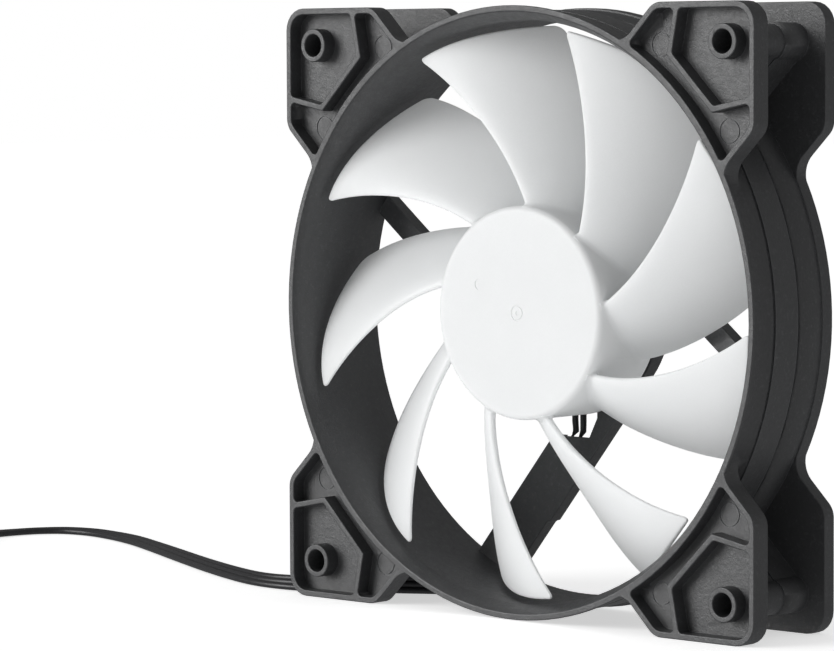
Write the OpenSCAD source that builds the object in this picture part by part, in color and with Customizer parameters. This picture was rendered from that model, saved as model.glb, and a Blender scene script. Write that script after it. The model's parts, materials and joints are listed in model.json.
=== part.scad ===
// Case fan, 120 mm, standing upright on its lower edge.
// +Z is up, the intake side faces -Y, and the origin is the middle of the lower edge.
// Distances in the plane of the fan are measured from its axis and lifted by axis_z.

/* [Frame] */
// Outer width and height of the square frame
frame_size = 120; // [120:0.1:120.6]
// Depth of the frame from intake face to outlet face
frame_depth = 25; // [25:0.5:28]
// Distance between neighbouring screw holes
hole_pitch = 105; // [104:0.5:106]
// Diameter of the screw holes
hole_d = 4.5; // [4:0.1:5]
// Inner diameter of the duct
duct_d = 114.4; // [113.8:0.1:114.8]
// Thickness of the front corner flanges
front_flange_t = 4.4; // [3.6:0.1:5]
// Thickness of the rear corner flanges
rear_flange_t = 3.0; // [2.5:0.1:4]
// Depth of the pockets in the front corner flanges
pocket_depth = 3.1; // [2:0.1:3.2]

/* [Impeller] */
// Number of blades
blade_count = 9; // [7:1:10]
// Diameter over the blade tips
impeller_d = 112.2; // [108:0.1:112.6]
// Outer diameter of the hub
hub_d = 42; // [41.5:0.5:44]
// Greatest thickness of a blade at the hub
blade_root_t = 2.0; // [1.6:0.1:2.4]
// Greatest thickness of a blade at the tip
blade_tip_t = 1.1; // [0.9:0.1:1.6]

/* [Motor] */
// Diameter of the motor base that the struts carry
base_d = 41.2; // [41:0.1:42]
// Diameter of the shaft
shaft_d = 3; // [2.5:0.1:3.2]

/* [Lead] */
// Diameter of one wire of the flat lead
wire_d = 1.3; // [1.1:0.05:1.3]

/* [Hidden] */

plastic_black = [0.16, 0.16, 0.17];
plastic_white = [0.93, 0.94, 0.94];
steel = [0.62, 0.63, 0.65];
copper = [0.72, 0.40, 0.20];
brass = [0.78, 0.65, 0.35];
lead_black = [0.10, 0.10, 0.11];

half = frame_size / 2;
axis_z = half;
front_y = -frame_depth / 2;
rear_y = frame_depth / 2;
hole_at = hole_pitch / 2;
duct_r = duct_d / 2;

// --- Frame: ring wall, corner flanges, posts, struts and motor base ---

mouth_r = duct_r + 1.5;      // opening at both faces
flare_depth = 3.2;           // depth of the intake flare
rear_chamfer = 1.4;
lip_r = duct_r + 2.7;        // thin lip around the intake
lip_t = 0.6;
wall_r = duct_r + 1.9;       // outside of the ring wall
groove_r = wall_r - 0.4;     // two shallow grooves run round the wall
groove_w = 0.8;
groove_ys = [front_y + 7.5, front_y + 15.1];
rear_lip_r = duct_r + 2.3;

corner_r = 4.5;
flank_shift = 23.9;          // a flange's flank is the line where height = side distance + this
flank_r = 4;                 // rounding where a flank meets the outer edge
fillet_r = 5;                // hollow rounding where a flank meets the ring
rim_t = 1.25;
pocket_wall_r = lip_r + 0.2; // the ring wall as the pockets see it
pocket_corner_r = 0.9;
boss_r = 3.35;
post_r = 3.3;
rear_post_r = 3.6;           // a post is a little thicker behind a small step
post_step_y = 2.3;
post_web_inset = 0.5;        // a post's web is this much narrower on each side
pocket_rib_w = 1.2;
rib_knee = [39.9, 50.2];
rib_end = [41.7, 59.3];
ejector_at = [35.8, 52];
ejector_r = 2.4;
ejector_line = 0.25;         // width of the line that each ejector pin leaves
mark_depth = 0.15;

strut_front_y = 9.2;
strut_inner = 16.1;          // a strut's two sides, as distances from the axis
strut_outer = 20.5;
strut_angle = 51;            // slope of the wide strut
wide_inner = 10.4;
wide_outer = 20.2;
wide_heel = 20.8;            // the wide strut is a little wider near the motor
heel_end = 38.5;
channel_wall = 1.2;
channel_floor_y = 10.15;
window_low = -25.7;          // lower edge of the gap that the motor leads cross
lead_y = 10.85;              // middle plane of the lead inside its channel
lead_offset = (wide_inner + wide_outer) / 2;
wire_count = 3;
lead_w = wire_count * wire_d;
notch_w = lead_w + 0.9;

base_r = base_d / 2;
label_recess = 0.5;
label_r = 18.4;
cap_r = 5.2;
tube_r = 4.6;
tube_bore_r = 3.9;
tube_front_y = -5.5;
slot_x = [-4.3, 4.6];
slot_top = -13.2;
slot_rear_y = 11.7;

// --- Rotor ---

hub_r = hub_d / 2;
hub_front_y = -10;
hub_rear_y = 8;
hub_wall = 1.3;
hub_edge_r = 1.3;
yoke_bore_r = hub_r - hub_wall;
yoke_r = yoke_bore_r - 0.03;
yoke_t = 0.8;
yoke_front_y = hub_front_y + 1.4;
yoke_rear_y = 5.6;
magnet_r = yoke_r - yoke_t;
magnet_t = 2.2;
magnet_half = 4.5;
bush_r = 3;
bush_flange_r = 4.4;
bush_rear_y = -5.95;
shaft_r = shaft_d / 2;
shaft_rear_y = 10.1;
clip_y = 8.4;
clip_t = 0.4;
clip_r = 2.6;
clip_groove_r = 1.15;

// Leading edge and trailing edge of a blade: angle about the axis and depth along it,
// each a polynomial of the share of the way from hub to tip.
le_angle = [127.65, 42.9, -18.4, 6.2];
le_depth = [-8.25, -1.1, 0.7];
te_angle = [94.5, 65.8, -49.7, 21];
te_depth = [5.1, 4, -3.75];
blade_camber = [0.5, 0, 0, 0.42];
tip_round = 1.3;
blade_root_r = hub_r - 0.7;
chord_steps = [0, 0.03, 0.12, 0.3, 0.55, 0.8, 0.95, 1];
chord_thickness = [0.2, 0.55, 0.9, 1, 0.9, 0.65, 0.4, 0.25];

// --- Stator ---

pole_count = 4;
core_half = 2.5;
core_bore_r = tube_r + 0.05;
core_hub_r = 7;
arm_w = 3.2;
shoe_inner_r = 14.2;
shoe_r = magnet_r - magnet_t - 0.6;
shoe_half_angle = 37;
insulator_t = 0.8;
insulator_wall_y = 5;
collar_r = 6.6;
coil_inner_r = 7.3;
coil_outer_r = 12.9;
flange_inner_r = 13.4;       // the former's walls, just outside the coils
coil_build = 1.6;
pin_at = 13.8;
pin_r = 0.35;
board_y = 6.6;
board_t = 1;
board_r = 17.6;

// --- Lead outside the frame ---

// Points that the flat lead follows after the frame, and its tilt from standing on edge
cable_route = [
    [-24.6, 10.85, 5.3, 0], [-25.2, 10.85, 4.56, 0], [-26.7, 10.7, 3.25, 0],
    [-29, 10.2, 2.4, 0], [-32, 9.1, 2.05, 0], [-37, 6.4, 2, 5],
    [-43, 3, 1.95, 15], [-49, -0.6, 1.85, 28], [-55, -4, 1.75, 38],
    [-60, -6.3, 1.6, 47], [-65.5, -7.3, 1.5, 53], [-71.5, -7.2, 1.4, 58], [-78, -5.8, 1.35, 61],
    [-87, -2.4, 1.3, 64], [-97, 2, 1.25, 67], [-109, 7.9, 1.15, 70], [-122, 14.4, 1.1, 73],
    [-135, 21, 1, 77], [-148, 27, 0.95, 80], [-159, 30.7, 0.85, 84], [-168, 32.2, 0.8, 86],
    [-175.5, 30.8, 0.75, 88], [-180, 26.5, 0.7, 90], [-182.2, 20.5, 0.7, 90],
    [-182.9, 14, 0.8, 85], [-181.8, 7.5, 1.4, 60], [-180, 1.5, 2.1, 20], [-178.9, -4, 2.25, 0]
];
// Points from the coil's inner turn to the connector
tail_route = [
    [-201, 15.5, 2.25, 0], [-196.2, 14.2, 2.25, 5], [-192.8, 10.8, 2.3, 20],
    [-191.5, 6, 2.4, 40], [-192.8, 1.2, 2.5, 60], [-196.2, -2.2, 2.7, 75],
    [-201, -3.5, 2.9, 88], [-204.5, -3.5, 2.9, 90]
];
coil_at = [-201, -4];
coil_in_r = 18.75;
coil_out_r = 22.9;
tie_t = 0.3;
tie_w = 6;
connector_end = [-204.5, -3.5, 2.9];
connector_l = 11.4;
connector_w = 7.6;
connector_h = 5.8;
pin_pitch = 2.54;
cavity_w = 1.9;

// --- Small helpers ---

function flat(lists) = [for (l = lists) for (p = l) p];
function power_sum(c, t) = [for (i = [0 : len(c) - 1]) c[i] * pow(t, i)] * [for (i = c) 1];
function unit(v) = v / norm(v);
function turned(v, a) = [v.x * cos(a) - v.y * sin(a), v.x * sin(a) + v.y * cos(a)];

// Points of a polygon whose corner i is rounded with radius radii[i]
function rounded(points, radii, steps = 6) = flat([
    for (i = [0 : len(points) - 1])
        let (
            n = len(points),
            p = points[i],
            a = unit(points[(i + n - 1) % n] - p),
            b = unit(points[(i + 1) % n] - p),
            half_angle = acos(a * b) / 2,
            r = radii[i],
            c = p + unit(a + b) * r / sin(half_angle),
            from = p + a * r / tan(half_angle) - c,
            to = p + b * r / tan(half_angle) - c,
            start = atan2(from.y, from.x),
            sweep = (atan2(to.y, to.x) - start + 540) % 360 - 180
        )
        r == 0 ? [p] : [for (k = [0 : steps]) c + r * [cos(start + sweep * k / steps),
                                                       sin(start + sweep * k / steps)]]
]);

// A flat shape drawn in the plane of the fan, from depth y0 to depth y1
module slab(y0, y1)
    translate([0, y1, axis_z])
        rotate([90, 0, 0])
            linear_extrude(y1 - y0)
                children();

// A profile of [radius, depth] points turned about the fan's axis
module spun(points, sides = 120)
    translate([0, 0, axis_z])
        rotate([-90, 0, 0])
            rotate_extrude($fn = sides)
                polygon(points);

// A disc or ring about the fan's axis
module disc(r, y0, y1, bore = 0)
    slab(y0, y1)
        difference() {
            circle(r, $fn = 96);
            if (bore > 0) circle(bore, $fn = 64);
        }

// A closed tube that joins rings of points
module skin(rings) {
    n = len(rings[0]);
    last = len(rings) - 1;
    sides = flat([for (i = [0 : last - 1]) for (j = [0 : n - 1])
        let (a = i * n + j, b = i * n + (j + 1) % n)
        [[a, b, b + n], [a, b + n, a + n]]]);
    start = [for (j = [n - 1 : -1 : 0]) j];
    end = [for (j = [0 : n - 1]) last * n + j];
    polyhedron(flat(rings), concat(sides, [start], [end]));
}

// --- Frame ---

module ring_wall()
    spun([
        [duct_r, front_y + flare_depth], [mouth_r, front_y], [lip_r, front_y],
        [lip_r, front_y + lip_t], [wall_r, front_y + lip_t + 0.3],
        each flat([for (y = groove_ys) [[wall_r, y - groove_w / 2], [groove_r, y - groove_w / 2],
                                        [groove_r, y + groove_w / 2], [wall_r, y + groove_w / 2]]]),
        [wall_r, rear_y - rear_flange_t], [rear_lip_r, rear_y - rear_flange_t],
        [rear_lip_r, rear_y], [duct_r + rear_chamfer, rear_y], [duct_r, rear_y - rear_chamfer]
    ]);

// Outline of one corner flange, in the corner where both coordinates are positive
module corner_outline(inset = 0) {
    far = half - inset;
    shift = flank_shift - inset * sqrt(2);
    inner = 38;
    flank = 26;
    polygon(rounded(
        [[inner, inner], [flank, shift + flank], [far - shift, far], [far, far],
         [far, far - shift], [shift + flank, flank]],
        [0, 0, flank_r - inset, corner_r - inset, flank_r - inset, 0]));
}

// Four corner flanges on a disc, with hollow roundings between them
module flange_outline(disc_r)
    difference() {
        offset(r = -fillet_r, $fn = 72)
            offset(delta = fillet_r) {
                circle(disc_r, $fn = 120);
                at_corners() corner_outline();
            }
        circle(mouth_r + 0.2, $fn = 120);
    }

module pocket_rib()
    for (side = [0, 1])
        mirror([side, -side])
            for (ends = [[rib_end, rib_knee], [rib_knee, [rib_knee.y, rib_knee.x]]]) {
                way = ends[1] - ends[0];
                translate(ends[0])
                    rotate(atan2(way.y, way.x))
                        translate([0, -pocket_rib_w / 2])
                            square([norm(way), pocket_rib_w]);
                translate(ends[1]) circle(d = pocket_rib_w, $fn = 24);
            }

module pocket_outline()
    offset(r = pocket_corner_r, $fn = 20)
        offset(delta = -pocket_corner_r)
            difference() {
                corner_outline(rim_t);
                circle(pocket_wall_r, $fn = 120);
                pocket_rib();
                translate([hole_at, hole_at]) circle(boss_r, $fn = 48);
            }

module at_corners()
    for (x = [0, 1], z = [0, 1])
        mirror([x, 0])
            mirror([0, z])
                children();

// A post round a screw hole, and the thick web that joins it to the ring
module post_outline(r) {
    translate([hole_at, hole_at]) circle(r, $fn = 48);
    rotate(45)
        translate([wall_r - 0.8, post_web_inset - r])
            square([hole_at * sqrt(2) - wall_r + 0.8, 2 * (r - post_web_inset)]);
}

// A straight bar of the pinwheel: quarter turns put it at its place
module strut_outline(quarter) {
    reach = sqrt(pow(duct_r + 0.6, 2) - pow(strut_outer, 2));
    rotate(strut_angle - 180 - 90 * quarter)
        translate([0, strut_inner])
            square([reach, strut_outer - strut_inner]);
}

// The wide strut runs down and to the left, and holds the lead
module along_wide_strut()
    rotate(strut_angle - 180)
        children();

module wide_strut_outline() {
    reach = sqrt(pow(duct_r + 0.9, 2) - pow(wide_outer, 2));
    step = wide_heel - wide_outer;
    difference() {
        along_wide_strut()
            polygon([[0, wide_inner], [reach + 4, wide_inner], [reach, wide_outer],
                     [heel_end + 2 * step, wide_outer], [heel_end + step, wide_outer + step / 4],
                     [heel_end, wide_heel], [0, wide_heel]]);
        polygon([[-20, window_low], [2, window_low], [4.1, -21.6], [4.6, -20], [4.6, -8], [-20, -8]]);
    }
}

module channel_outline()
    along_wide_strut()
        translate([0, wide_inner + channel_wall])
            square([54.5, wide_outer - wide_inner - 2 * channel_wall]);

module lead_notch_outline()
    along_wide_strut()
        translate([52, lead_offset - notch_w / 2])
            square([9, notch_w]);

// Two tabs keep the lead in its channel
module lead_tabs()
    along_wide_strut() {
        translate([33, wide_outer - channel_wall - 4.2]) square([3, 4.6]);
        translate([45, wide_inner + channel_wall - 0.4]) square([3, 4.6]);
    }

module wide_strut() {
    difference() {
        slab(strut_front_y, rear_y) wide_strut_outline();
        slab(channel_floor_y, rear_y + 1) channel_outline();
    }
    slab(lead_y + wire_d / 2 + 0.2, rear_y) lead_tabs();
}

module motor_base()
    difference() {
        union() {
            disc(base_r, strut_front_y, rear_y);
            disc(tube_r, tube_front_y, strut_front_y + 1);
        }
        disc(cap_r + 0.02, rear_y - label_recess - 0.8, rear_y + 1);
        disc(tube_bore_r, tube_front_y - 1, rear_y + 1);
        slab(strut_front_y - 1, slot_rear_y)
            translate([slot_x[0], -base_r - 1])
                square([slot_x[1] - slot_x[0], base_r + 1 + slot_top]);
    }

module frame()
    color(plastic_black)
        difference() {
            union() {
                ring_wall();
                slab(front_y, front_y + front_flange_t) flange_outline(wall_r - 0.1);
                slab(rear_y - rear_flange_t, rear_y) flange_outline(rear_lip_r - 0.1);
                slab(front_y + 1, rear_y - 1) at_corners() post_outline(post_r);
                slab(post_step_y, rear_y - 1) at_corners() post_outline(rear_post_r);
                slab(strut_front_y, rear_y)
                    for (quarter = [1 : 3]) strut_outline(quarter);
                wide_strut();
                motor_base();
            }
            slab(front_y - 1, front_y + pocket_depth) at_corners() pocket_outline();
            slab(front_y - 2, rear_y + 2)
                at_corners() translate([hole_at, hole_at]) circle(d = hole_d, $fn = 48);
            slab(front_y, front_y + pocket_depth + mark_depth)
                at_corners()
                    for (p = [ejector_at, [ejector_at.y, ejector_at.x]])
                        translate(p)
                            difference() {
                                circle(ejector_r, $fn = 32);
                                circle(ejector_r - ejector_line, $fn = 32);
                            }
            slab(channel_floor_y, rear_y + 1) lead_notch_outline();
            disc(label_r + 0.1, rear_y - label_recess, rear_y + 1);
        }

// --- Impeller ---

function blade_share(r) = (r - hub_r) / (impeller_d / 2 - hub_r);

// How far a blade's corners are cut back near the tip
function corner_cut(r) =
    let (d = r - (impeller_d / 2 - tip_round))
    d <= 0 ? 0 : tip_round - sqrt(max(0, tip_round * tip_round - d * d));

// One section: points round the blade at radius r
function blade_section(r) =
    let (
        t = blade_share(r),
        a0 = power_sum(le_angle, t),
        a1 = power_sum(te_angle, t),
        y0 = power_sum(le_depth, t),
        y1 = power_sum(te_depth, t),
        camber = power_sum(blade_camber, t),
        run = (a1 - a0) * r * PI / 180,
        chord = norm([run, y1 - y0]),
        cut = corner_cut(r) / chord,
        thick = blade_root_t + (blade_tip_t - blade_root_t) * max(0, t),
        last = len(chord_steps) - 1,
        order = concat([for (i = [0 : last]) [i, -1]], [for (i = [last : -1 : 0]) [i, 1]])
    )
    [for (o = order)
        let (
            s = cut + (1 - 2 * cut) * chord_steps[o[0]],
            along = unit([run, (y1 - y0) * (1 - camber * (1 - 2 * s))]),
            off = o[1] * thick / 2 * chord_thickness[o[0]],
            turn = a0 + (a1 - a0) * s - along.y * off / r * 180 / PI,
            depth = y0 + (y1 - y0) * (s - camber * s * (1 - s)) + along.x * off
        )
        [r * cos(turn), depth, axis_z + r * sin(turn)]];

module blade() {
    tip_r = impeller_d / 2;
    radii = [blade_root_r, hub_r + 1, hub_r + 5, hub_r + 10, hub_r + 15, hub_r + 20, hub_r + 25,
             hub_r + 30, tip_r - tip_round, tip_r - 0.9, tip_r - 0.3, tip_r];
    skin([for (r = radii) blade_section(r)]);
}

module hub_body()
    spun([
        [0, hub_front_y], [hub_r - hub_edge_r, hub_front_y],
        each [for (a = [15 : 15 : 75]) [hub_r - hub_edge_r + hub_edge_r * sin(a),
                                        hub_front_y + hub_edge_r - hub_edge_r * cos(a)]],
        [hub_r, hub_front_y + hub_edge_r], [hub_r, hub_rear_y], [0, hub_rear_y]
    ]);

// The bore for the rotor, and the moulding marks on the hub's face
module hub_hollows() {
    spun([[0, yoke_front_y], [yoke_bore_r, yoke_front_y],
          [yoke_bore_r, hub_rear_y + 1], [0, hub_rear_y + 1]]);
    disc(1.6, hub_front_y - 1, hub_front_y + mark_depth, 1.2);
    disc(0.45, hub_front_y - 1, hub_front_y + mark_depth);
    slab(hub_front_y - 1, hub_front_y + mark_depth)
        translate([-9.9, 5.3]) circle(1.1, $fn = 32);
}

module impeller()
    color(plastic_white)
        difference() {
            union() {
                hub_body();
                for (k = [0 : blade_count - 1])
                    translate([0, 0, axis_z])
                        rotate([0, k * 360 / blade_count, 0])
                            translate([0, 0, -axis_z])
                                blade();
            }
            hub_hollows();
        }

// --- Rotor inside the hub ---

module rotor_yoke()
    color(steel)
        spun([[bush_r, yoke_front_y], [yoke_r, yoke_front_y], [yoke_r, yoke_rear_y],
              [magnet_r, yoke_rear_y], [magnet_r, yoke_front_y + yoke_t],
              [bush_r, yoke_front_y + yoke_t]]);

module magnet_ring()
    color([0.22, 0.20, 0.19])
        disc(magnet_r, -magnet_half, magnet_half, magnet_r - magnet_t);

module shaft_bush()
    color(brass)
        spun([[shaft_r, yoke_front_y], [bush_r, yoke_front_y], [bush_r, yoke_front_y + yoke_t],
              [bush_flange_r, yoke_front_y + yoke_t], [bush_flange_r, yoke_front_y + yoke_t + 0.9],
              [bush_r, yoke_front_y + yoke_t + 0.9], [bush_r, bush_rear_y], [shaft_r, bush_rear_y]]);

module shaft()
    color([0.80, 0.81, 0.83])
        spun([[0, yoke_front_y], [shaft_r, yoke_front_y], [shaft_r, clip_y],
              [clip_groove_r, clip_y], [clip_groove_r, clip_y + clip_t],
              [shaft_r, clip_y + clip_t], [shaft_r, shaft_rear_y - 0.5],
              [shaft_r - 0.5, shaft_rear_y - 0.1], [0, shaft_rear_y]], 48);

module retaining_clip()
    color([0.86, 0.84, 0.76])
        slab(clip_y, clip_y + clip_t)
            difference() {
                circle(clip_r, $fn = 48);
                circle(clip_groove_r, $fn = 48);
                translate([0, -clip_r]) square([1.2, 2 * clip_r], center = true);
            }

// --- Bearing ---

module sleeve_bearing()
    color([0.66, 0.50, 0.30])
        spun([[shaft_r + 0.03, -4.3], [shaft_r + 0.33, -4.6], [tube_bore_r - 0.3, -4.6],
              [tube_bore_r - 0.01, -4.3], [tube_bore_r - 0.01, 7.7], [tube_bore_r - 0.3, 8],
              [shaft_r + 0.33, 8], [shaft_r + 0.03, 7.7]], 64);

module oil_seal()
    color([0.20, 0.20, 0.22])
        disc(tube_bore_r - 0.01, tube_front_y, -4.7, shaft_r + 0.25);

module thrust_pad()
    color([0.88, 0.86, 0.80])
        disc(tube_bore_r - 0.01, shaft_rear_y + 0.08, rear_y - label_recess - 0.8);

module bearing_cap()
    color([0.14, 0.14, 0.15])
        disc(cap_r, rear_y - label_recess - 0.8, rear_y - label_recess);

module rear_label()
    color([0.75, 0.76, 0.77])
        disc(label_r, rear_y - label_recess, rear_y - label_recess + 0.2);

// --- Stator ---

module at_poles()
    for (k = [0 : pole_count - 1])
        rotate(45 + k * 360 / pole_count)
            children();

module arms()
    at_poles()
        translate([core_bore_r + 0.6, -arm_w / 2])
            square([shoe_inner_r - core_bore_r - 0.2, arm_w]);

module shoe(inner, outer, half_angle)
    intersection() {
        difference() {
            circle(outer, $fn = 96);
            circle(inner, $fn = 96);
        }
        polygon([[0, 0], [2 * outer, -2 * outer * tan(half_angle)],
                 [2 * outer, 2 * outer * tan(half_angle)]]);
    }

module stator_core()
    color([0.48, 0.49, 0.50])
        slab(-core_half, core_half)
            difference() {
                union() {
                    circle(core_hub_r, $fn = 64);
                    arms();
                    at_poles() shoe(shoe_inner_r, shoe_r, shoe_half_angle);
                }
                circle(core_bore_r, $fn = 64);
            }

// One half of the winding former; the rear one also carries the circuit board
module insulator(collar_y) {
    slab(core_half, core_half + insulator_t)
        difference() {
            union() {
                circle(core_hub_r, $fn = 64);
                arms();
                at_poles() shoe(flange_inner_r, shoe_inner_r + 0.6, 22);
            }
            circle(core_bore_r, $fn = 64);
        }
    slab(core_half, insulator_wall_y)
        at_poles() shoe(flange_inner_r, shoe_inner_r, 20);
    disc(collar_r, core_half, collar_y, core_bore_r);
}

module insulator_front()
    color([0.90, 0.90, 0.88])
        mirror([0, 1, 0]) insulator(insulator_wall_y);

module insulator_rear()
    color([0.90, 0.90, 0.88]) insulator(board_y);

module coil(k)
    color(copper)
        translate([0, 0, axis_z])
            rotate([0, -45 - k * 360 / pole_count, 0])
                translate([coil_inner_r, 0, 0])
                    rotate([90, 0, 90])
                        linear_extrude(coil_outer_r - coil_inner_r)
                            difference() {
                                square([2 * (core_half + insulator_t + coil_build),
                                        arm_w + 2 * coil_build + 0.1], center = true);
                                square([2 * (core_half + insulator_t) + 0.04, arm_w + 0.04],
                                       center = true);
                            }

module coil_1() coil(0);
module coil_2() coil(1);
module coil_3() coil(2);
module coil_4() coil(3);

module at_pins()
    for (k = [0 : 2])
        rotate(45 + 90 * k)
            translate([pin_at, 0])
                children();

module circuit_board()
    color([0.10, 0.34, 0.20])
        slab(board_y, board_y + board_t)
            difference() {
                circle(board_r, $fn = 96);
                circle(tube_r + 0.2, $fn = 64);
                at_pins() circle(pin_r + 0.1, $fn = 24);
            }

// A small part on the board: centre, size and turn in the plane, and its two depths
module board_part(at, size, turn, y0, y1)
    slab(y0, y1)
        translate(at)
            rotate(turn)
                square(size, center = true);

module driver_chip()
    color([0.09, 0.09, 0.10]) {
        board_part([15.6, 0], [2.9, 4.2], 0, board_y - 1.1, board_y);
        for (z = [-1.3, 0, 1.3])
            board_part([13.7, z], [1.2, 0.5], 0, board_y - 0.4, board_y);
    }

module board_capacitors()
    color([0.72, 0.60, 0.42])
        for (at = [[-10.5, 6], [10.5, 6]])
            board_part(at, [3.2, 1.6], 60, board_y + board_t, board_y + board_t + 1.1);

module board_resistors()
    color([0.12, 0.12, 0.13])
        for (at = [[-12.5, -4], [-6.5, -12.5], [12, -5]])
            board_part(at, [2, 1.25], 20, board_y + board_t, board_y + board_t + 0.5);

module winding_pins()
    color(brass)
        slab(insulator_wall_y, board_y + board_t + 0.8)
            at_pins() circle(pin_r, $fn = 24);

module solder_joints()
    color([0.78, 0.79, 0.80])
        slab(board_y + board_t, board_y + board_t + 0.5)
            at_pins()
                difference() {
                    circle(0.8, $fn = 24);
                    circle(pin_r, $fn = 24);
                }

// --- Lead ---

// Sides of a tube's rings: the direction of travel, the level side and the upright side
function travel(points, i) =
    let (n = len(points) - 1)
    unit(points[min(n, i + 1)] - points[max(0, i - 1)]);

function round_ring(p, d, r, sides = 8) =
    let (s = unit(cross(d, abs(d.z) > 0.9 ? [1, 0, 0] : [0, 0, 1])), u = cross(s, d))
    [for (k = [0 : sides - 1]) p + r * (cos(360 * k / sides) * s + sin(360 * k / sides) * u)];

// A flat lead's ring of eight points, tilted from standing on its edge
function flat_ring(p, d, tilt) =
    let (
        s = unit(cross(d, [0, 0, 1])),
        u = cross(s, d),
        w = cos(tilt) * u + sin(tilt) * s,
        t = cross(d, w),
        a = lead_w / 2,
        b = wire_d / 2,
        corners = [[a, 0.25 * b], [a - 0.6 * b, b], [-a + 0.6 * b, b], [-a, 0.25 * b],
                   [-a, -0.25 * b], [-a + 0.6 * b, -b], [a - 0.6 * b, -b], [a, -0.25 * b]]
    )
    [for (c = corners) p + c.x * w + c.y * t];

module flat_lead(route) {
    points = [for (p = route) [p[0], p[1], p[2]]];
    skin([for (i = [0 : len(route) - 1]) flat_ring(points[i], travel(points, i), route[i][3])]);
}

module round_lead(points)
    skin([for (i = [0 : len(points) - 1]) round_ring(points[i], travel(points, i), wire_d / 2)]);

// Where the lead lies in the channel, s along the strut and across it
function in_channel(s, across) =
    let (p = turned([s, lead_offset + across], strut_angle - 180))
    [p.x, lead_y, axis_z + p.y];

lead_start = 26;
motor_lead_xs = [-2.8, -0.7, 3.7];

module motor_leads()
    color(lead_black)
        for (k = [0 : 2]) {
            x = motor_lead_xs[k];
            across = (k - 1) * wire_d * 1.04;
            round_lead([
                [x, 8.35, axis_z - 13.9], [x, 8.4, axis_z - 15], [x, 9.2, axis_z - 16.5],
                [x, 10.4, axis_z - 18.2], [x, lead_y, axis_z - 20.2], [x, lead_y, axis_z - 22.6],
                [x * 0.9 - 0.1, lead_y, axis_z - 24.6],
                in_channel(lead_start - 2, across * 1.4), in_channel(lead_start, across)
            ]);
        }

module strut_lead() {
    first = in_channel(lead_start + 0.02, 0);
    exit = cable_route[0];
    run = norm([exit[0], exit[1], exit[2]] - first) - 0.02;
    color(lead_black)
        translate(first)
            rotate([0, -90 - strut_angle, 0])
                linear_extrude(run)
                    union() {
                        for (k = [-1 : 1])
                            translate([k * wire_d, 0]) circle(d = wire_d, $fn = 24);
                        square([2 * wire_d, wire_d * 0.5], center = true);
                    }
}

module cable() color(lead_black) flat_lead(cable_route);

module cable_tail() color(lead_black) flat_lead(tail_route);

module cable_coil()
    color(lead_black)
        translate([coil_at.x, coil_at.y, tie_t])
            rotate_extrude($fn = 96)
                translate([coil_in_r, 0])
                    square([coil_out_r - coil_in_r, lead_w]);

module coil_tie()
    color([0.20, 0.20, 0.21])
        translate([coil_at.x, coil_at.y, 0])
            rotate([90, 0, 0])
                translate([0, 0, -tie_w / 2])
                    linear_extrude(tie_w)
                        difference() {
                            translate([-coil_out_r - 0.55, 0])
                                square([coil_out_r - coil_in_r + 1.4, lead_w + 2 * tie_t]);
                            translate([-coil_out_r - 0.25, tie_t])
                                square([coil_out_r - coil_in_r + 0.8, lead_w]);
                        }

// --- Connector ---

module connector_housing()
    color([0.12, 0.12, 0.13])
        translate([connector_end.x - connector_l, connector_end.y, 0])
            difference() {
                union() {
                    translate([0, -connector_w / 2, 0])
                        cube([connector_l, connector_w, connector_h]);
                    for (y = [-1.9, 1.1])
                        translate([0, y, connector_h - 0.1])
                            cube([connector_l - 2.4, 0.8, 0.8]);
                }
                for (k = [-1 : 1])
                    translate([-1, k * pin_pitch - cavity_w / 2, connector_end.z - cavity_w / 2])
                        cube([connector_l + 2, cavity_w, cavity_w]);
            }

module connector_contacts()
    color([0.80, 0.80, 0.78])
        for (k = [-1 : 1])
            translate([connector_end.x - connector_l + 0.6, connector_end.y + k * pin_pitch,
                       connector_end.z])
                translate([0, -0.8, -0.8])
                    difference() {
                        cube([8.6, 1.6, 1.6]);
                        translate([-1, 0.35, 0.35]) cube([6, 0.9, 0.9]);
                    }

frame();
impeller();
rotor_yoke();
magnet_ring();
shaft_bush();
shaft();
retaining_clip();
sleeve_bearing();
oil_seal();
thrust_pad();
bearing_cap();
rear_label();
stator_core();
insulator_front();
insulator_rear();
coil_1();
coil_2();
coil_3();
coil_4();
circuit_board();
driver_chip();
board_capacitors();
board_resistors();
winding_pins();
solder_joints();
motor_leads();
strut_lead();
cable();
cable_coil();
cable_tail();
coil_tie();
connector_housing();
connector_contacts();
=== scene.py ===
"""A case fan standing on a pale floor, with its flat lead running off to a small coil."""

import json
import math

import bmesh
import bpy
from mathutils import Matrix, Vector


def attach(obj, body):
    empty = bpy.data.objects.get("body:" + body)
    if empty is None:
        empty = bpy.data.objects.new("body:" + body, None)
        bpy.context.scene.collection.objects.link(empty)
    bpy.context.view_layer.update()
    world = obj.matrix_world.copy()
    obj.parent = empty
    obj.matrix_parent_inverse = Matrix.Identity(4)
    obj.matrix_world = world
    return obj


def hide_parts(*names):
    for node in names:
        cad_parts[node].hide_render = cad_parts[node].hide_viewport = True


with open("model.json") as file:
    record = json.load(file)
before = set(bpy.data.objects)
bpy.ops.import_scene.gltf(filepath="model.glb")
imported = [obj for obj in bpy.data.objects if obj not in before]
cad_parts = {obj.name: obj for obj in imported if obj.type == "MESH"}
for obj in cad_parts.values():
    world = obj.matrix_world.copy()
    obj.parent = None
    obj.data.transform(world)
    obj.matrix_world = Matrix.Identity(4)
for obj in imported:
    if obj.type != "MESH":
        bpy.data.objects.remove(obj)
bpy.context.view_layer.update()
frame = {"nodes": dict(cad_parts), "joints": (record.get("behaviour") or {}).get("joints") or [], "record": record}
nodes = frame["nodes"]

MM = 0.001
SPIN = next(j for j in frame["joints"] if j["name"] == "impeller_spin")
AXIS_Z = SPIN["pos_m"][2] / MM


# --- Camera ---

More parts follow.
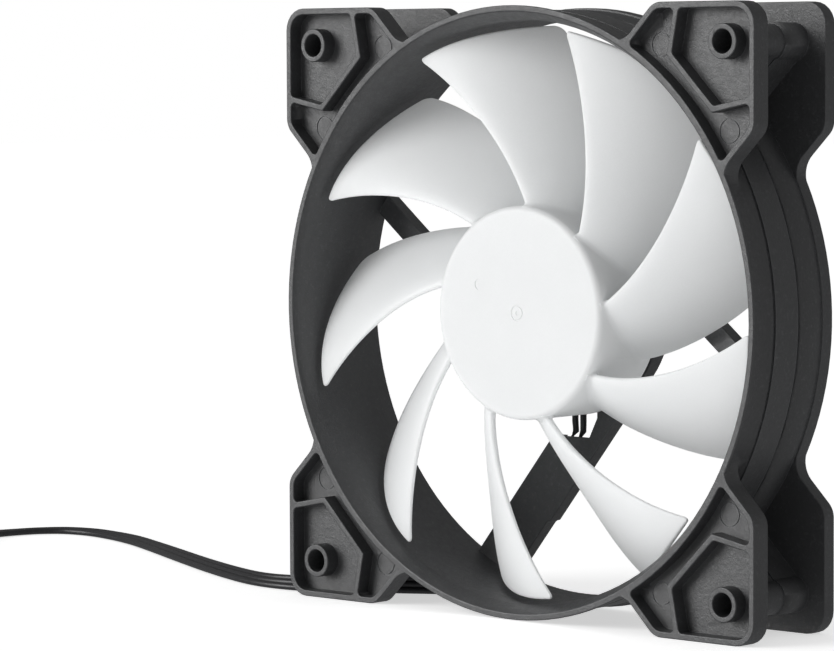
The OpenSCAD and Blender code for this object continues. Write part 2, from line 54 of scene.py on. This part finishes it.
CAMERA_AT = (0.51016, -0.59729, 0.10730)
CAMERA_YAW, CAMERA_PITCH, CAMERA_ROLL = 42.42, -3.65, -0.27
LENS = 172.4


def add_camera():
    """A long lens from the right of the front, a little above the floor."""
    data = bpy.data.cameras.new("camera")
    data.sensor_width = 36
    data.lens = LENS
    data.clip_start = 0.05
    data.clip_end = 50
    yaw, pitch, roll = (math.radians(a) for a in (CAMERA_YAW, CAMERA_PITCH, CAMERA_ROLL))
    turn = Matrix.Rotation(yaw, 4, "Z") @ Matrix.Rotation(math.radians(90) + pitch, 4, "X")
    camera = bpy.data.objects.new("camera", data)
    camera.matrix_world = (
        Matrix.Translation(CAMERA_AT) @ turn @ Matrix.Rotation(roll, 4, "Z")
    )
    bpy.context.scene.collection.objects.link(camera)
    bpy.context.scene.camera = camera


# --- Mesh helpers, all in millimetres ---


def mesh_object(name, points, faces, smooth_angle=30):
    """A new object from points in millimetres, with outward normals and smooth shading."""
    mesh = bpy.data.meshes.new(name)
    mesh.from_pydata([Vector(p) * MM for p in points], [], faces)
    bm = bmesh.new()
    bm.from_mesh(mesh)
    bmesh.ops.recalc_face_normals(bm, faces=bm.faces)
    bm.to_mesh(mesh)
    bm.free()
    obj = bpy.data.objects.new(name, mesh)
    bpy.context.scene.collection.objects.link(obj)
    shade(obj, smooth_angle)
    return obj


def shade(obj, angle=30):
    """Smooth shading, with edges sharper than the angle kept crisp."""
    mesh = obj.data
    mesh.shade_smooth()
    mesh.set_sharp_from_angle(angle=math.radians(angle))


def skin(rings):
    """Points and faces of a closed tube through rings of equal length."""
    n = len(rings[0])
    faces = []
    for i in range(len(rings) - 1):
        for j in range(n):
            a, b = i * n + j, i * n + (j + 1) % n
            faces.append((a, b, b + n, a + n))
    faces.append(tuple(reversed(range(n))))
    faces.append(tuple((len(rings) - 1) * n + j for j in range(n)))
    return [p for ring in rings for p in ring], faces


# --- Lead ---

# Points that the lead follows after the frame, and its tilt from standing on edge
CABLE_ROUTE = [
    (-24.6, 10.85, 5.3, 0), (-25.2, 10.85, 4.56, 0), (-26.7, 10.7, 3.25, 0),
    (-29, 10.2, 2.4, 0), (-32, 9.1, 2.05, 0), (-37, 6.4, 2, 5),
    (-43, 3, 1.95, 15), (-49, -0.6, 1.85, 28), (-55, -4, 1.75, 38),
    (-60, -6.3, 1.6, 47), (-65.5, -7.3, 1.5, 53), (-71.5, -7.2, 1.4, 58), (-78, -5.8, 1.35, 61),
    (-87, -2.4, 1.3, 64), (-97, 2, 1.25, 67), (-109, 7.9, 1.15, 70), (-122, 14.4, 1.1, 73),
    (-135, 21, 1, 77), (-148, 27, 0.95, 80), (-159, 30.7, 0.85, 84), (-168, 32.2, 0.8, 86),
    (-175.5, 30.8, 0.75, 88), (-180, 26.5, 0.7, 90), (-182.2, 20.5, 0.7, 90),
    (-182.9, 14, 0.8, 85), (-181.8, 7.5, 1.4, 60), (-180, 1.5, 2.1, 20), (-178.9, -4, 2.25, 0),
]
# Points from the coil's inner turn to the connector
TAIL_ROUTE = [
    (-201, 15.5, 2.25, 0), (-196.2, 14.2, 2.25, 5), (-192.8, 10.8, 2.3, 20),
    (-191.5, 6, 2.4, 40), (-192.8, 1.2, 2.5, 60), (-196.2, -2.2, 2.7, 75),
    (-201, -3.5, 2.9, 88), (-204.5, -3.5, 2.9, 90),
]
COIL_CENTRE = (-201, -4)
COIL_Z = 2.25
COIL_START_R = 22.1
COIL_PITCH = 1.5
COIL_TURNS = 1.75
COIL_STEPS = 48


def coil_points():
    """The coil's turns, clockwise from its right side and winding inwards."""
    count = int(COIL_TURNS * COIL_STEPS)
    points = []
    for i in range(1, count):
        turns = i / COIL_STEPS
        angle = -2 * math.pi * turns
        r = COIL_START_R - COIL_PITCH * turns
        points.append((COIL_CENTRE[0] + r * math.cos(angle), COIL_CENTRE[1] + r * math.sin(angle),
                       COIL_Z, 0))
    return points


def smooth_line(points, step=1.2):
    """A centripetal curve through the points, in steps of about step millimetres."""
    p = [Vector(q) for q in points]
    p = [2 * p[0] - p[1]] + p + [2 * p[-1] - p[-2]]
    out = []
    for a, b, c, d in zip(p, p[1:], p[2:], p[3:]):
        knots = [0]
        for m, n in ((a, b), (b, c), (c, d)):
            knots.append(knots[-1] + math.sqrt((n - m).to_3d().length))
        t0, t1, t2, t3 = knots
        count = max(1, round((c - b).to_3d().length / step))
        for k in range(count):
            t = t1 + (t2 - t1) * k / count
            ab = a.lerp(b, (t - t0) / (t1 - t0))
            bc = b.lerp(c, (t - t1) / (t2 - t1))
            cd = c.lerp(d, (t - t2) / (t3 - t2))
            abc = ab.lerp(bc, (t - t0) / (t2 - t0))
            bcd = bc.lerp(cd, (t - t1) / (t3 - t1))
            out.append(abc.lerp(bcd, (t - t1) / (t2 - t1)))
    return out + [p[-2]]


def strand_outline(lobes=3, lobe_r=0.66, spacing=1.28, steps=7):
    """The lead's section: round wires side by side, joined at their sides."""
    valley = math.acos(spacing / 2 / lobe_r)
    first, last = -(lobes - 1) / 2 * spacing, (lobes - 1) / 2 * spacing
    outline = []
    for side in (1, -1):
        for k in range(lobes):
            centre = (last - k * spacing) if side > 0 else (first + k * spacing)
            start = valley if k > 0 else 0
            end = math.pi - valley if k < lobes - 1 else math.pi
            for i in range(steps + 1):
                if i == steps and k == lobes - 1:
                    continue
                if i == 0 and k > 0:
                    continue
                angle = start + (end - start) * i / steps
                outline.append((centre + side * lobe_r * math.cos(angle),
                                side * lobe_r * math.sin(angle)))
    return outline


def sweep_flat(points, outline):
    """Rings of the outline along the points, each with its tilt from standing on edge."""
    rings = []
    last = len(points) - 1
    for i, p in enumerate(points):
        way = (points[min(last, i + 1)].to_3d() - points[max(0, i - 1)].to_3d()).normalized()
        level = way.cross(Vector((0, 0, 1))).normalized()
        upright = level.cross(way)
        tilt = math.radians(p[3])
        across = upright * math.cos(tilt) + level * math.sin(tilt)
        thin = way.cross(across)
        rings.append([p.to_3d() + across * a + thin * b for a, b in outline])
    return rings


def add_lead():
    """The free part of the lead, from the strut to the connector, as one piece."""
    route = smooth_line(CABLE_ROUTE + coil_points() + TAIL_ROUTE)
    points, faces = skin(sweep_flat(route, strand_outline()))
    lead = mesh_object("flat_lead", points, faces, 50)
    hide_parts("cable", "cable_coil", "cable_tail")
    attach(lead, "housing")
    return lead


# --- Impeller ---

HUB_R = 21.0
TIP_R = 56.1
HUB_FRONT = -10.0
HUB_REAR = 8.0
HUB_BORE = 19.7
HUB_ROOF = 1.4
HUB_EDGE = 1.3
REAR_EDGE = 0.4
BORE_EDGE = 0.3
# The gate mark at the middle of the hub's face, with a groove round it
GATE_R = 0.42
GROOVE_R = (1.2, 1.6)
GATE_DEPTH = 0.15
GATE_SLOPE = 0.05
# The round mark beside it, from the axis
MARK_AT = (-9.9, 5.3)
MARK_R = 1.1
MARK_DEPTH = 0.12
BLADES = 9
# Leading edge and trailing edge of a blade: angle about the axis in degrees and depth
# along it, each a polynomial of the share of the way from hub to tip
LE_ANGLE = (127.65, 42.9, -18.4, 6.2)
LE_DEPTH = (-8.25, -1.1, 0.7)
TE_ANGLE = (94.5, 65.8, -49.7, 21)
TE_DEPTH = (5.1, 4, -3.75)
# Curvature of the blade's section, growing towards the tip
CAMBER = (0.5, 0, 0, 0.42)
# How much thinner the section is at its leading edge and at its trailing edge
NOSE_THINNING = 0.55
NOSE_REACH = 0.05
TAIL_THINNING = 0.66
TAIL_POWER = 2.2
ROOT_T = 2.0
TIP_T = 1.1
TIP_ROUND = 1.3
TIP_EDGE = 0.35
SIDE_EDGE = 0.45
ROOT_SINK = 0.5
ROOT_FILLET = 0.9
CHORD_STEPS = 36
SPAN_STEPS = 44


def power_sum(factors, t):
    return sum(c * t**i for i, c in enumerate(factors))


def from_axis(r, angle, depth):
    """The point at a radius, an angle from +X towards +Z, and a depth along the fan's axis."""
    return Vector((r * math.cos(angle), depth, AXIS_Z + r * math.sin(angle)))


def quarter_round(distance, radius):
    """How far a rounded edge has drawn in at a distance from its end."""
    if distance >= radius:
        return 0.0
    rest = radius - max(0.0, distance)
    return radius - math.sqrt(max(0.0, radius * radius - rest * rest))


def blade_ring(r, first_angle):
    """Points round the blade at radius r, from the leading edge round both faces."""
    t = (r - HUB_R) / (TIP_R - HUB_R)
    a0, a1 = (math.radians(power_sum(a, t)) for a in (LE_ANGLE, TE_ANGLE))
    y0, y1 = power_sum(LE_DEPTH, t), power_sum(TE_DEPTH, t)
    camber = power_sum(CAMBER, t)
    run = (a1 - a0) * r
    chord = math.hypot(run, y1 - y0)
    cut = quarter_round(TIP_R - r, TIP_ROUND) / chord
    swell = quarter_round(r - HUB_R, ROOT_FILLET) if r < HUB_R + ROOT_FILLET else 0.0
    widen = swell / chord
    thick = ROOT_T + (TIP_T - ROOT_T) * max(0.0, t)
    drawn_in = 1 - quarter_round(TIP_R - r, TIP_EDGE) / TIP_EDGE
    start, end = cut - widen, 1 - cut + widen
    ring = []
    for side in (-1, 1):
        steps = range(CHORD_STEPS) if side < 0 else range(CHORD_STEPS, 0, -1)
        for i in steps:
            share = (1 - math.cos(math.pi * i / CHORD_STEPS)) / 2
            s = start + (end - start) * share
            inner = min(1.0, max(0.0, s))
            edge = min(share, 1 - share) * (end - start) * chord
            nose = 1 - NOSE_THINNING * math.exp(-inner / NOSE_REACH)
            tail = 1 - TAIL_THINNING * inner**TAIL_POWER
            half = thick / 2 * (nose * tail) * drawn_in + swell
            rounding = min(SIDE_EDGE, half)
            half *= 1 - quarter_round(edge, rounding) / max(0.02, rounding)
            along = Vector((run, (y1 - y0) * (1 - camber * (1 - 2 * s)))).normalized()
            angle = a0 + (a1 - a0) * s - along.y * side * half / r
            depth = y0 + (y1 - y0) * (s - camber * s * (1 - s)) + along.x * side * half
            ring.append(from_axis(r, angle + first_angle, depth))
    return ring


def blade(first_angle):
    """One blade, its root sunk a little into the hub and flared where it meets it."""
    near_root = [HUB_R - ROOT_SINK, HUB_R - 0.1]
    near_root += [HUB_R + ROOT_FILLET * k / 6 for k in range(1, 7)]
    span = TIP_R - HUB_R - ROOT_FILLET - TIP_ROUND
    middle = [HUB_R + ROOT_FILLET + span * k / SPAN_STEPS for k in range(1, SPAN_STEPS + 1)]
    tip = [TIP_R - TIP_ROUND * (1 - math.sin(math.pi / 2 * k / 10)) for k in range(1, 11)]
    return skin([blade_ring(r, first_angle) for r in near_root + middle + tip])


def arc(centre, radius, start, end, steps):
    """Points on an arc, angles in degrees."""
    angles = (math.radians(start + (end - start) * k / steps) for k in range(steps + 1))
    return [(centre[0] + radius * math.cos(a), centre[1] + radius * math.sin(a)) for a in angles]


def turned(profile, sides=192):
    """A closed shape: the profile of (radius, depth) points turned about the fan's axis.

    The profile starts and ends on the axis."""
    points, rows = [], []
    for r, depth in profile:
        if r < 1e-6:
            rows.append([len(points)] * sides)
            points.append(from_axis(0, 0, depth))
        else:
            rows.append([len(points) + k for k in range(sides)])
            points += [from_axis(r, 2 * math.pi * k / sides, depth) for k in range(sides)]
    faces = []
    for a, b in zip(rows, rows[1:]):
        for k in range(sides):
            m = (k + 1) % sides
            corners = [a[k], a[m], b[m], b[k]]
            faces.append([c for i, c in enumerate(corners) if c not in corners[:i]])
    return points, [f for f in faces if len(f) > 2]


def hub_profile():
    """The hub's section, with the gate mark at the middle of its face."""
    dip = HUB_FRONT + GATE_DEPTH
    inner, outer = GROOVE_R
    gate = [(0, dip), (GATE_R, dip), (GATE_R + GATE_SLOPE, HUB_FRONT)]
    groove = [(inner, HUB_FRONT), (inner + GATE_SLOPE, dip), (outer - GATE_SLOPE, dip),
              (outer, HUB_FRONT)]
    edge = arc((HUB_R - HUB_EDGE, HUB_FRONT + HUB_EDGE), HUB_EDGE, -90, 0, 10)
    rim = arc((HUB_R - REAR_EDGE, HUB_REAR - REAR_EDGE), REAR_EDGE, 0, 90, 4)
    lip = arc((HUB_BORE + BORE_EDGE, HUB_REAR - BORE_EDGE), BORE_EDGE, 90, 180, 3)
    roof = HUB_FRONT + HUB_ROOF
    return (gate + groove + [(8, HUB_FRONT), (14, HUB_FRONT)] + edge
            + [(HUB_R, -4), (HUB_R, 2)] + rim + lip + [(HUB_BORE, roof), (0, roof)])


def join_shapes(name, shapes, smooth_angle=30):
    """One object from several closed shapes, merged into one skin."""
    merged = None
    for points, faces in shapes:
        obj = mesh_object(name + "_part", points, faces, smooth_angle)
        if merged is None:
            merged = obj
            continue
        combine(merged, obj, "UNION")
    merged.name = name
    merged.data.name = name
    shade(merged, smooth_angle)
    return merged


def combine(target, tool, operation):
    """Adds the tool to the target, or cuts it out, and removes the tool."""
    modifier = target.modifiers.new("combine", "BOOLEAN")
    modifier.operation = operation
    modifier.object = tool
    modifier.solver = "MANIFOLD"
    apply_modifiers(target)
    bpy.data.objects.remove(tool)


def apply_modifiers(obj):
    bpy.context.view_layer.update()
    graph = bpy.context.evaluated_depsgraph_get()
    mesh = bpy.data.meshes.new_from_object(obj.evaluated_get(graph))
    obj.modifiers.clear()
    obj.data = mesh


def add_impeller():
    """The hub and its nine swept blades, one moulding."""
    shapes = [turned(hub_profile())]
    shapes += [blade(-2 * math.pi * k / BLADES) for k in range(BLADES)]
    impeller = join_shapes("impeller_moulding", shapes, 28)
    plug = disc_shape(MARK_AT, MARK_R, HUB_FRONT - 0.5, HUB_FRONT + MARK_DEPTH)
    mark = mesh_object("mark", *plug)
    combine(impeller, mark, "DIFFERENCE")
    shade(impeller, 28)
    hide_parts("impeller")
    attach(impeller, "rotor")
    return impeller


def disc_shape(centre, radius, y0, y1, sides=48):
    """A round plug across the fan's plane, centred beside the axis."""
    rings = []
    for y in (y0, y1):
        rings.append([Vector((centre[0] + radius * math.cos(2 * math.pi * k / sides), y,
                              AXIS_Z + centre[1] + radius * math.sin(2 * math.pi * k / sides)))
                      for k in range(sides)])
    return skin(rings)


# --- Frame ---

# Depths of the front face, the front flanges' backs, the struts' fronts, the rear
# flanges' fronts and the rear face
FRAME_PLANES = (-12.5, -8.1, 9.2, 9.5, 12.5)
FRAME_EDGE = 0.24
# Points closer than this are one, and edges flatter than this aren't edges
WELD = 0.002
FLAT_ANGLE = 0.6
# An edge sharper than this, lying this close to a depth, is rounded
SHARP_ANGLE = 30
SAME_DEPTH = 0.003


def softened(node, name, radius, planes):
    """A copy of a CAD node, with the sharp edges at those depths along the axis rounded."""
    bm = bmesh.new()
    bm.from_mesh(nodes[node].data)
    bmesh.ops.remove_doubles(bm, verts=bm.verts, dist=WELD * MM)
    bmesh.ops.dissolve_limit(bm, angle_limit=math.radians(FLAT_ANGLE), verts=bm.verts,
                             edges=bm.edges)

    def chosen(edge):
        sharp = math.radians(SHARP_ANGLE)
        if len(edge.link_faces) != 2 or edge.calc_face_angle_signed(0) < sharp:
            return False
        depths = [v.co.y / MM for v in edge.verts]
        return any(max(abs(d - plane) for d in depths) < SAME_DEPTH for plane in planes)

    bmesh.ops.bevel(bm, geom=[e for e in bm.edges if chosen(e)], offset=radius * MM,
                    offset_type="OFFSET", segments=2, profile=0.5, affect="EDGES",
                    clamp_overlap=False)
    mesh = bpy.data.meshes.new(name)
    bm.to_mesh(mesh)
    bm.free()
    obj = bpy.data.objects.new(name, mesh)
    bpy.context.scene.collection.objects.link(obj)
    shade(obj, 35)
    weigh = obj.modifiers.new("even_shading", "WEIGHTED_NORMAL")
    weigh.keep_sharp = True
    return obj


def add_frame():
    """The frame, with the small radii that its mould leaves on every outer edge."""
    body = softened("frame", "frame_moulding", FRAME_EDGE, FRAME_PLANES)
    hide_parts("frame")
    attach(body, "housing")
    return body


# --- Materials ---


class Look:
    """A procedural material: one principled shader and the textures that feed it."""

    def __init__(self, name):
        self.material = bpy.data.materials.new(name)
        self.material.use_nodes = True
        self.tree = self.material.node_tree
        self.shader = self.tree.nodes["Principled BSDF"]
        self.place = self.add("ShaderNodeTexCoord").outputs["Object"]
        self.height = None

    def add(self, kind, **settings):
        node = self.tree.nodes.new(kind)
        for key, value in settings.items():
            setattr(node, key, value)
        return node

    def link(self, output, target):
        self.tree.links.new(output, target)

    def set(self, **values):
        """Constant values on the shader's own sockets."""
        for key, value in values.items():
            self.shader.inputs[key.replace("_", " ")].default_value = value

    def noise(self, size, detail=4, roughness=0.6, stretch=None):
        """Noise whose lumps are about size millimetres across."""
        place = self.place
        if stretch:
            mapping = self.add("ShaderNodeMapping")
            mapping.inputs["Scale"].default_value = stretch
            self.link(place, mapping.inputs["Vector"])
            place = mapping.outputs["Vector"]
        node = self.add("ShaderNodeTexNoise")
        node.inputs["Scale"].default_value = 1 / (size * MM)
        node.inputs["Detail"].default_value = detail
        node.inputs["Roughness"].default_value = roughness
        self.link(place, node.inputs["Vector"])
        return node.outputs["Fac"]

    def between(self, factor, low, high, start=0.3, end=0.7):
        """The factor from start to end, spread from low to high."""
        node = self.add("ShaderNodeMapRange")
        for key, value in (("From Min", start), ("From Max", end), ("To Min", low),
                           ("To Max", high)):
            node.inputs[key].default_value = value
        self.link(factor, node.inputs["Value"])
        return node.outputs["Result"]

    def mix(self, factor, first, second):
        """A colour between two, by the factor."""
        node = self.add("ShaderNodeMix", data_type="RGBA")
        self.link(factor, node.inputs["Factor"])
        for value, socket in ((first, node.inputs[6]), (second, node.inputs[7])):
            if isinstance(value, (tuple, list)):
                socket.default_value = (*value, 1)
            else:
                self.link(value, socket)
        return node.outputs[2]

    def colour(self, output):
        self.link(output, self.shader.inputs["Base Color"])

    def rough(self, output):
        self.link(output, self.shader.inputs["Roughness"])

    def bump(self, output, depth):
        """Relief of about depth millimetres; a later call lies on top of an earlier one."""
        node = self.add("ShaderNodeBump")
        node.inputs["Distance"].default_value = depth * MM
        self.link(output, node.inputs["Height"])
        if self.height is not None:
            self.link(self.height, node.inputs["Normal"])
        self.height = node.outputs["Normal"]
        self.link(self.height, self.shader.inputs["Normal"])

    def edges(self, radius):
        """1 on edges and corners, 0 on flat ground, from how far rounding would turn them."""
        rounded = self.add("ShaderNodeBevel", samples=4)
        rounded.inputs["Radius"].default_value = radius * MM
        plain = self.add("ShaderNodeNewGeometry")
        dot = self.add("ShaderNodeVectorMath", operation="DOT_PRODUCT")
        self.link(rounded.outputs["Normal"], dot.inputs[0])
        self.link(plain.outputs["Normal"], dot.inputs[1])
        return self.between(dot.outputs["Value"], 1, 0, 0.8, 1.0)


def shade_of(colour, factor):
    """The colour made lighter or darker."""
    return tuple(min(1, c * factor) for c in colour)


def plastic(name, colour, rough=0.45, grain=0.25, relief=0.01, variation=0.12, wear_and_highlight=1.25):
    """Moulded plastic: a fine grain, faint flow clouds, and edges painted lighter, partly as rubbed wear and
    partly as a painted highlight.
    """
    look = Look(name)
    fine = look.noise(grain, 3, 0.7)
    clouds = look.noise(14, 3, 0.5)
    base = look.mix(look.between(clouds, 0, 1), shade_of(colour, 1 - variation),
                    shade_of(colour, 1 + variation))
    speckled = look.mix(look.between(fine, 0, 0.5, 0.35, 0.65), base,
                        shade_of(colour, 1 + 2.2 * variation))
    # Edges and corners painted lighter: partly rubbed wear, partly a painted highlight
    look.colour(look.mix(look.edges(0.25), speckled, shade_of(colour, wear_and_highlight)))
    look.rough(look.between(look.noise(2.5, 4), rough - 0.06, rough + 0.08))
    look.bump(fine, relief)
    return look.material


def metal(name, colour, rough=0.3, brushed=(1, 1, 1), relief=0.004):
    """Metal with brush marks or a fine grain, and roughness that varies."""
    look = Look(name)
    look.set(Metallic=1.0)
    lines = look.noise(0.35, 4, 0.6, brushed)
    clouds = look.noise(5, 3)
    look.colour(look.mix(look.between(clouds, 0, 1), shade_of(colour, 0.88),
                         shade_of(colour, 1.06)))
    look.rough(look.between(lines, rough - 0.07, rough + 0.12))
    look.bump(lines, relief)
    return look.material


def frame_plastic():
    """Black plastic with a spark-eroded grain that catches the light."""
    look = Look("frame_plastic")
    colour = (0.033, 0.034, 0.036)
    fine = look.noise(0.30, 3, 0.75)
    coarse = look.noise(0.75, 3, 0.6)
    clouds = look.noise(18, 3, 0.5)
    base = look.mix(look.between(clouds, 0, 1), shade_of(colour, 0.92), shade_of(colour, 1.07))
    grain = look.mix(look.between(fine, 0, 1, 0.4, 0.68), shade_of(colour, 0.8), base)
    flecks = look.mix(look.between(coarse, 0, 0.5, 0.58, 0.7), grain, shade_of(colour, 2.1))
    # Edges and rims painted much lighter: mostly a painted highlight along the rims, partly rubbed wear
    look.colour(look.mix(look.edges(0.3), flecks, shade_of(colour, 2.4)))
    look.rough(look.between(look.noise(1.2, 4), 0.42, 0.56))
    look.set(Specular_IOR_Level=1.0)
    look.bump(fine, 0.05)
    look.bump(coarse, 0.06)
    return look.material


def impeller_plastic():
    """Satin white plastic with faint flow lines."""
    look = Look("impeller_plastic")
    colour = (0.87, 0.885, 0.89)
    clouds = look.noise(16, 3, 0.5)
    flow = look.noise(1.6, 4, 0.6)
    fine = look.noise(0.3, 3, 0.7)
    base = look.mix(look.between(clouds, 0, 1), shade_of(colour, 0.975), shade_of(colour, 1.01))
    look.colour(look.mix(look.between(fine, 0, 0.5, 0.35, 0.7), base, shade_of(colour, 0.95)))
    look.rough(look.between(flow, 0.40, 0.52))
    look.set(Specular_IOR_Level=0.35, Subsurface_Weight=0.5, Subsurface_Radius=(1, 1, 1),
             Subsurface_Scale=2.5 * MM)
    look.bump(fine, 0.004)
    look.bump(clouds, 0.03)
    return look.material


def lead_vinyl():
    """Soft black vinyl, a little shiny along the tops of the wires."""
    look = Look("lead_vinyl")
    colour = (0.018, 0.018, 0.020)
    dust = look.noise(0.5, 4, 0.7)
    look.colour(look.mix(look.between(dust, 0, 1, 0.45, 0.75), colour, shade_of(colour, 1.9)))
    look.rough(look.between(look.noise(2, 3), 0.32, 0.46))
    look.bump(look.noise(0.8, 3, 0.6), 0.01)
    return look.material


def circuit_green():
    """Green solder mask over faint copper tracks."""
    look = Look("board_green")
    tracks = look.add("ShaderNodeTexVoronoi", feature="DISTANCE_TO_EDGE", distance="CHEBYCHEV")
    tracks.inputs["Scale"].default_value = 1 / (3.2 * MM)
    tracks.inputs["Randomness"].default_value = 0.6
    look.link(look.place, tracks.inputs["Vector"])
    line = look.between(tracks.outputs["Distance"], 1, 0, 0.05, 0.09)
    look.colour(look.mix(line, (0.012, 0.115, 0.045), (0.03, 0.21, 0.085)))
    look.rough(look.between(look.noise(1.5), 0.25, 0.38))
    look.bump(line, 0.02)
    return look.material


def laminations():
    """Steel sheets stacked along the fan's axis."""
    look = Look("core_steel")
    look.set(Metallic=1.0)
    sheets = look.add("ShaderNodeTexWave", wave_type="BANDS", bands_direction="Y")
    sheets.inputs["Scale"].default_value = 1 / (3.2 * MM)
    sheets.inputs["Distortion"].default_value = 0.4
    look.link(look.place, sheets.inputs["Vector"])
    look.colour(look.mix(sheets.outputs["Fac"], (0.16, 0.165, 0.175), (0.42, 0.43, 0.45)))
    look.rough(look.between(look.noise(0.8), 0.35, 0.55))
    look.bump(sheets.outputs["Fac"], 0.03)
    return look.material


def enamelled_wire():
    """Copper wire wound in close turns."""
    look = Look("copper_wire")
    look.set(Metallic=0.9)
    turns = look.add("ShaderNodeTexWave", wave_type="RINGS", rings_direction="Y")
    turns.inputs["Scale"].default_value = 1 / (1.1 * MM)
    turns.inputs["Distortion"].default_value = 0.6
    look.link(look.place, turns.inputs["Vector"])
    look.colour(look.mix(turns.outputs["Fac"], (0.30, 0.10, 0.035), (0.72, 0.33, 0.13)))
    look.rough(look.between(look.noise(0.8), 0.25, 0.4))
    look.bump(turns.outputs["Fac"], 0.08)
    return look.material


SLOT_OF = {row["node"]: row["material_slot"] for row in frame["record"]["subparts"]}


def make_materials():
    """One material per slot of the record."""
    return {
        "frame_plastic": frame_plastic(),
        "impeller_plastic": impeller_plastic(),
        "lead_vinyl": lead_vinyl(),
        "board_green": circuit_green(),
        "core_steel": laminations(),
        "copper_wire": enamelled_wire(),
        "steel": metal("steel", (0.56, 0.57, 0.58), 0.32, (1, 12, 1)),
        "polished_steel": metal("polished_steel", (0.74, 0.75, 0.77), 0.16, (1, 20, 1), 0.002),
        "brass": metal("brass", (0.76, 0.58, 0.28), 0.28, (1, 10, 1)),
        "bronze": metal("bronze", (0.46, 0.32, 0.17), 0.5, (1, 1, 1), 0.02),
        "solder": metal("solder", (0.72, 0.73, 0.74), 0.2, (1, 1, 1), 0.01),
        "tinned_contact": metal("tinned_contact", (0.76, 0.75, 0.70), 0.25, (8, 1, 1)),
        "ferrite": plastic("ferrite", (0.045, 0.042, 0.040), 0.6, 0.3, 0.02),
        "nylon": plastic("nylon", (0.74, 0.73, 0.68), 0.4, 0.4, 0.006, 0.05, 1.05),
        "seal_rubber": plastic("seal_rubber", (0.022, 0.022, 0.024), 0.7, 0.3, 0.01),
        "cap_plastic": plastic("cap_plastic", (0.030, 0.030, 0.033), 0.45, 0.3, 0.01),
        "label_foil": plastic("label_foil", (0.50, 0.51, 0.53), 0.34, 1.2, 0.004, 0.06, 1.2),
        "chip_epoxy": plastic("chip_epoxy", (0.018, 0.018, 0.020), 0.5, 0.2, 0.006),
        "capacitor_ceramic": plastic("capacitor_ceramic", (0.40, 0.27, 0.14), 0.35, 0.3, 0.006),
        "resistor_black": plastic("resistor_black", (0.02, 0.02, 0.022), 0.3, 0.3, 0.004),
        "tie_vinyl": plastic("tie_vinyl", (0.020, 0.020, 0.022), 0.42, 0.5, 0.01),
        "connector_nylon": plastic("connector_nylon", (0.022, 0.022, 0.025), 0.38, 0.4, 0.008),
    }


def paint(obj, material):
    obj.data.materials.clear()
    obj.data.materials.append(material)


# --- Studio ---

FLOOR_GLOW = 0.57
ROOM_LIGHT = 0.34
ROOM_SHEEN = 0.2


def add_floor():
    """A wide pale floor, a little mottled and glowing faintly, as if lit from beneath."""
    half = 4
    mesh = bpy.data.meshes.new("floor")
    mesh.from_pydata([(-half, -half, 0), (half, -half, 0), (half, half, 0), (-half, half, 0)], [],
                     [(0, 1, 2, 3)])
    floor = bpy.data.objects.new("floor", mesh)
    bpy.context.scene.collection.objects.link(floor)
    look = Look("floor")
    clouds = look.noise(60, 3)
    look.colour(look.mix(look.between(clouds, 0, 1), (0.90, 0.90, 0.90), (0.93, 0.93, 0.93)))
    look.set(Roughness=0.8, Specular_IOR_Level=0.2, Emission_Color=(1, 1, 1, 1),
             Emission_Strength=FLOOR_GLOW)
    paint(floor, look.material)
    floor.visible_glossy = False


def add_sun(name, towards, strength, spread):
    """A soft light from the direction towards, the same all over the scene."""
    data = bpy.data.lights.new(name, "SUN")
    data.energy = strength
    data.angle = math.radians(spread)
    light = bpy.data.objects.new(name, data)
    light.rotation_mode = "QUATERNION"
    light.rotation_quaternion = Vector(towards).to_track_quat("Z", "Y")
    bpy.context.scene.collection.objects.link(light)
    return light


def add_studio():
    """A soft key from the upper left of the front, and even light from all round.

    Shiny surfaces see the surroundings darker than matte ones do, as in a room where
    the white screens stand apart."""
    add_sun("key", (-0.48, -0.78, 0.42), 1.4, 36)
    sheen = add_sun("sheen", (-0.58, -0.78, 0.18), 1.2, 40)
    sheen.visible_diffuse = False
    world = bpy.data.worlds.new("studio")
    world.use_nodes = True
    tree = world.node_tree
    out = tree.nodes["World Output"]
    glow = tree.nodes["Background"]
    glow.inputs["Color"].default_value = (1, 1, 1, 1)
    path = tree.nodes.new("ShaderNodeLightPath")
    level = tree.nodes.new("ShaderNodeMapRange")
    level.inputs["To Min"].default_value = ROOM_LIGHT
    level.inputs["To Max"].default_value = ROOM_SHEEN
    tree.links.new(path.outputs["Is Glossy Ray"], level.inputs["Value"])
    tree.links.new(level.outputs["Result"], glow.inputs["Strength"])
    backdrop = tree.nodes.new("ShaderNodeBackground")
    backdrop.inputs["Color"].default_value = (1, 1, 1, 1)
    mix = tree.nodes.new("ShaderNodeMixShader")
    tree.links.new(path.outputs["Is Camera Ray"], mix.inputs["Fac"])
    tree.links.new(glow.outputs["Background"], mix.inputs[1])
    tree.links.new(backdrop.outputs["Background"], mix.inputs[2])
    tree.links.new(mix.outputs["Shader"], out.inputs["Surface"])
    scene = bpy.context.scene
    scene.world = world
    scene.view_settings.view_transform = "Standard"


# --- The scene ---

add_camera()
lead = add_lead()
materials = make_materials()
for name, obj in nodes.items():
    paint(obj, materials[SLOT_OF[name]])
paint(lead, materials["lead_vinyl"])
paint(add_impeller(), materials["impeller_plastic"])
paint(add_frame(), materials["frame_plastic"])
add_floor()
add_studio()
